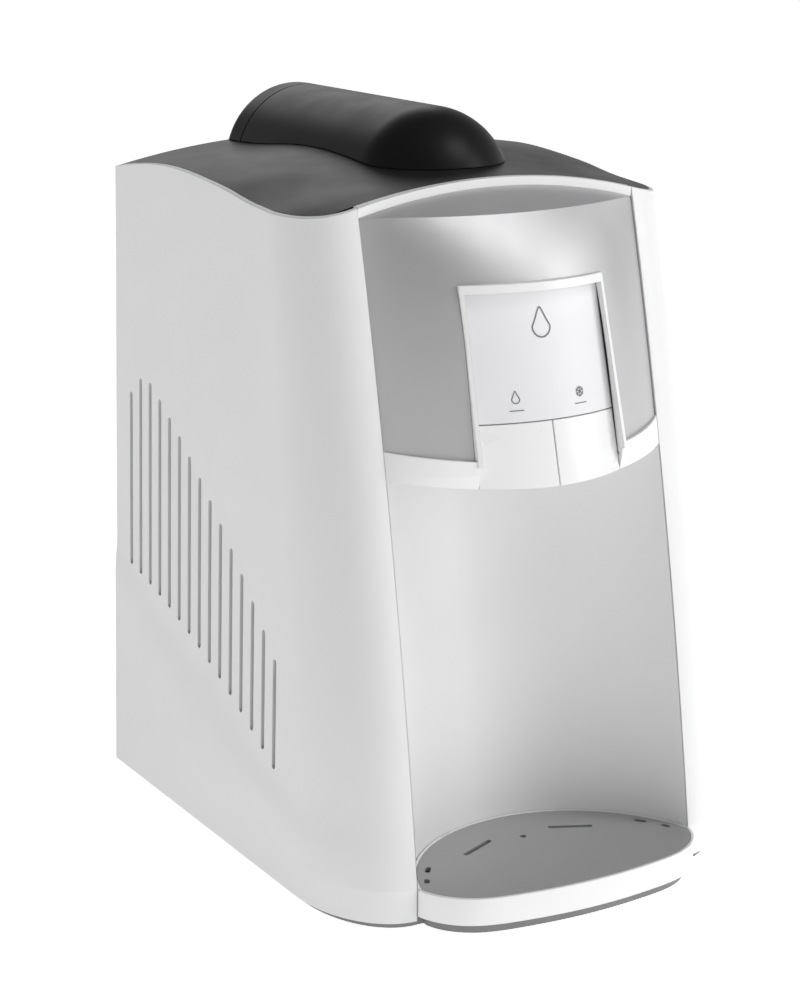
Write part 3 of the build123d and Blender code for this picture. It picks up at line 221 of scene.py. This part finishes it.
plasticSettings = {
    "casingWhite": {"dark": (0.80, 0.80, 0.80), "light": (0.84, 0.84, 0.84),
                    "rough": (0.34, 0.44), "grain": 2600, "depth": 0.00002, "edge": 0.0008},
    "bandWhite": {"dark": (0.86, 0.86, 0.86), "light": (0.89, 0.89, 0.89),
                  "rough": (0.26, 0.34), "grain": 2600, "depth": 0.00001, "coat": 0.1,
                  "edge": 0.001},
    "headSilver": {"dark": (0.53, 0.53, 0.535), "light": (0.57, 0.57, 0.575),
                   "rough": (0.40, 0.46), "grain": 4200, "depth": 0.00003, "metal": 0.6},
    "labelWhite": {"dark": (0.80, 0.80, 0.81), "light": (0.83, 0.83, 0.84),
                   "rough": (0.38, 0.46), "grain": 3000, "depth": 0.00001},
    "lidDark": {"dark": (0.018, 0.018, 0.019), "light": (0.024, 0.024, 0.025),
                "rough": (0.34, 0.40), "grain": 2400, "depth": 0.00001, "shine": 0.14},
    "coverDark": {"dark": (0.009, 0.009, 0.010), "light": (0.013, 0.013, 0.014),
                  "rough": (0.34, 0.42), "grain": 2400, "depth": 0.00002, "shine": 0.14},
    "grilleGrey": {"dark": (0.33, 0.33, 0.332), "light": (0.37, 0.37, 0.372),
                   "rough": (0.40, 0.52), "grain": 1800, "depth": 0.00004, "metal": 0.1},
    "panDark": {"dark": (0.17, 0.17, 0.17), "light": (0.21, 0.21, 0.21),
                "rough": (0.45, 0.6), "grain": 1500, "depth": 0.00005},
    "rubberBlack": {"dark": (0.018, 0.018, 0.018), "light": (0.03, 0.03, 0.03),
                    "rough": (0.6, 0.8), "grain": 1200, "depth": 0.00006},
    "mouldedGrey": {"dark": (0.36, 0.36, 0.37), "light": (0.42, 0.42, 0.43),
                    "rough": (0.4, 0.55), "grain": 1800, "depth": 0.00004},
    "cartridgeBlue": {"dark": (0.60, 0.67, 0.75), "light": (0.66, 0.72, 0.79),
                      "rough": (0.25, 0.35), "grain": 2200, "depth": 0.00003, "coat": 0.1},
    "waterTube": {"dark": (0.74, 0.76, 0.79), "light": (0.8, 0.82, 0.84),
                  "rough": (0.3, 0.42), "grain": 1500, "depth": 0.00002, "edge": 0},
    "blackPaint": {"dark": (0.014, 0.014, 0.014), "light": (0.022, 0.022, 0.022),
                   "rough": (0.25, 0.4), "grain": 900, "depth": 0.00008, "coat": 0.2},
    "foamWhite": {"dark": (0.76, 0.76, 0.73), "light": (0.86, 0.86, 0.84),
                  "rough": (0.75, 0.9), "grain": 260, "depth": 0.0004, "edge": 0},
    "boardGreen": {"dark": (0.02, 0.13, 0.06), "light": (0.03, 0.2, 0.1),
                   "rough": (0.3, 0.45), "grain": 1400, "depth": 0.00003, "coat": 0.2, "edge": 0},
    "printGrey": {"dark": (0.16, 0.16, 0.165), "light": (0.20, 0.20, 0.205),
                  "rough": (0.45, 0.6), "grain": 3000, "depth": 0.00001, "edge": 0},
}
metalSettings = {
    "copper": {"dark": (0.62, 0.32, 0.20), "light": (0.78, 0.46, 0.32),
               "rough": (0.2, 0.38), "streaks": (1, 1, 0.2)},
    "steel": {"dark": (0.50, 0.50, 0.51), "light": (0.66, 0.66, 0.67),
              "rough": (0.22, 0.4), "streaks": (1, 0.1, 1)},
}
finishes = {name: mouldedFinish(name, values) for name, values in plasticSettings.items()}
finishes.update({name: drawnMetal(name, values) for name, values in metalSettings.items()})

finishOfSlot = {
    "casing_white": "casingWhite", "band_white": "bandWhite", "head_silver": "headSilver",
    "label_white": "labelWhite", "lid_dark": "lidDark", "cover_dark": "coverDark",
    "grille_grey": "grilleGrey", "pan_dark": "panDark", "rubber_black": "rubberBlack",
    "moulded_grey": "mouldedGrey", "cartridge_blue": "cartridgeBlue", "water_tube": "waterTube",
    "copper": "copper", "steel": "steel", "black_paint": "blackPaint",
    "foam_white": "foamWhite", "board_green": "boardGreen",
}
for entry in frame["record"]["subparts"]:
    mesh = nodes[entry["node"]].data
    mesh.materials.clear()
    mesh.materials.append(finishes[finishOfSlot[entry["material_slot"]]])
print("finishes given to every node")


def deselectAll():
    bpy.ops.object.select_all(action="DESELECT")


def freeze(piece):
    deselectAll()
    piece.select_set(True)
    bpy.context.view_layer.objects.active = piece
    bpy.ops.object.transform_apply(location=True, rotation=True, scale=True)


def joinPieces(pieces, name):
    deselectAll()
    for piece in pieces:
        piece.select_set(True)
    bpy.context.view_layer.objects.active = pieces[0]
    bpy.ops.object.join()
    joined = bpy.context.object
    joined.name = name
    return joined


def applyModifier(piece, kind, **values):
    bpy.context.view_layer.objects.active = piece
    modifier = piece.modifiers.new("step", kind)
    for key, value in values.items():
        setattr(modifier, key, value)
    bpy.ops.object.modifier_apply(modifier=modifier.name)


# signs printed on the label: a drop over the natural key, a snow crystal over the cold key
signSettings = {
    "standOff": 0.004,
    "print": 0.00012,
    "dropSize": 0.0026,
    "crystalSize": 0.0030,
    "largeDrop": 0.0062,
    "side": 0.021,
    "low": 0.0125,
    "high": 0.050,
    "stroke": 0.0005,
    "largeStroke": 1.6,
    "barDrop": 0.0062,
    "barLength": 0.0085,
}
dropShape = {"vertices": 40, "narrow": 0.42, "rise": 0.75}
crystalShape = {"twigLean": 55, "twigRoot": 0.55, "twigReach": 0.22}


def flatBar(x, z, length, width, angle):
    deselectAll()
    bpy.ops.mesh.primitive_plane_add(size=1, location=(0, 0, 0))
    bar = bpy.context.object
    bar.scale = (length, width, 1)
    bpy.ops.object.transform_apply(location=False, rotation=False, scale=True)
    bpy.ops.object.mode_set(mode="EDIT")
    bpy.ops.mesh.subdivide(number_cuts=2)
    bpy.ops.object.mode_set(mode="OBJECT")
    bar.rotation_euler = (radians(90), radians(-angle), 0)
    bar.location = (x, 0, z)
    freeze(bar)
    return bar


def dropOutline(x, z, size, stroke):
    deselectAll()
    bpy.ops.mesh.primitive_circle_add(vertices=dropShape["vertices"], radius=size,
                                      fill_type="NGON", location=(0, 0, 0))
    drop = bpy.context.object
    for vertex in drop.data.vertices:  # the upper half runs to a point
        if vertex.co.y > 0:
            share = vertex.co.y / size
            vertex.co.x *= 1 - dropShape["narrow"] * share
            vertex.co.y *= 1 + dropShape["rise"] * share * share
    bpy.ops.object.mode_set(mode="EDIT")
    bpy.ops.mesh.select_all(action="SELECT")
    bpy.ops.mesh.inset(thickness=stroke)
    bpy.ops.mesh.delete(type="FACE")
    bpy.ops.object.mode_set(mode="OBJECT")
    drop.rotation_euler = (radians(90), 0, 0)
    drop.location = (x, 0, z)
    freeze(drop)
    return drop


def snowCrystal(x, z, size, stroke):
    bars = []
    for step in range(3):
        bars.append(flatBar(x, z, 2 * size, stroke, 60 * step + 90))
    for step in range(6):
        angle = 60 * step + 90
        for lean in (-1, 1):
            twig = angle + crystalShape["twigLean"] * lean
            root = crystalShape["twigRoot"] * size
            reach = crystalShape["twigReach"] * size
            bars.append(flatBar(x + root * cos(radians(angle)) + reach * cos(radians(twig)),
                                z + root * sin(radians(angle)) + reach * sin(radians(twig)),
                                2 * reach, stroke, twig))
    return bars


def printSigns(settings):
    low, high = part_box("label_panel")
    middle = (low.x + high.x) / 2
    stroke = settings["stroke"]
    signs = [dropOutline(middle, low.z + settings["high"], settings["largeDrop"],
                         stroke * settings["largeStroke"])]
    for side in (-1, 1):
        x = middle + side * settings["side"]
        z = low.z + settings["low"] - settings["barDrop"]
        signs.append(flatBar(x, z, settings["barLength"], stroke, 0))
    signs.append(dropOutline(middle - settings["side"], low.z + settings["low"],
                             settings["dropSize"], stroke))
    signs += snowCrystal(middle + settings["side"], low.z + settings["low"],
                         settings["crystalSize"], stroke)
    piece = joinPieces(signs, "label_signs")
    for vertex in piece.data.vertices:
        vertex.co.y = low.y - settings["standOff"]
    applyModifier(piece, "SHRINKWRAP", target=nodes["label_panel"], wrap_method="PROJECT",
                  use_project_y=True, use_positive_direction=True, offset=settings["print"])
    applyModifier(piece, "SOLIDIFY", thickness=settings["print"], offset=1)
    piece.data.materials.clear()
    piece.data.materials.append(finishes["printGrey"])
    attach(piece, "housing")


printSigns(signSettings)
print("signs printed on the label")

# the floor has a little light of its own, so that it stays pale as far as the camera sees
floorSettings = {"size": 60.0, "dark": (0.88, 0.88, 0.88), "light": (0.90, 0.90, 0.90),
                 "drift": 1.5, "rough": 0.7, "shine": 0.1, "glow": 0.85}


def layFloor(settings):
    deselectAll()
    bpy.ops.mesh.primitive_plane_add(size=settings["size"], location=(0, 0, 0))
    floor = bpy.context.object
    floor.name = "studioFloor"
    material, tree, shader = newMaterial("studioFloor")
    drift = noise(tree, objectPoint(tree), settings["drift"], 2.0)
    colour = twoColours(tree, drift, settings["dark"], settings["light"])
    tree.links.new(colour, shader.inputs["Base Color"])
    shader.inputs["Roughness"].default_value = settings["rough"]
    shader.inputs["Specular IOR Level"].default_value = settings["shine"]
    shader.inputs["Emission Color"].default_value = (1, 1, 1, 1)
    shader.inputs["Emission Strength"].default_value = settings["glow"]
    floor.data.materials.append(material)


layFloor(floorSettings)
print("floor laid")
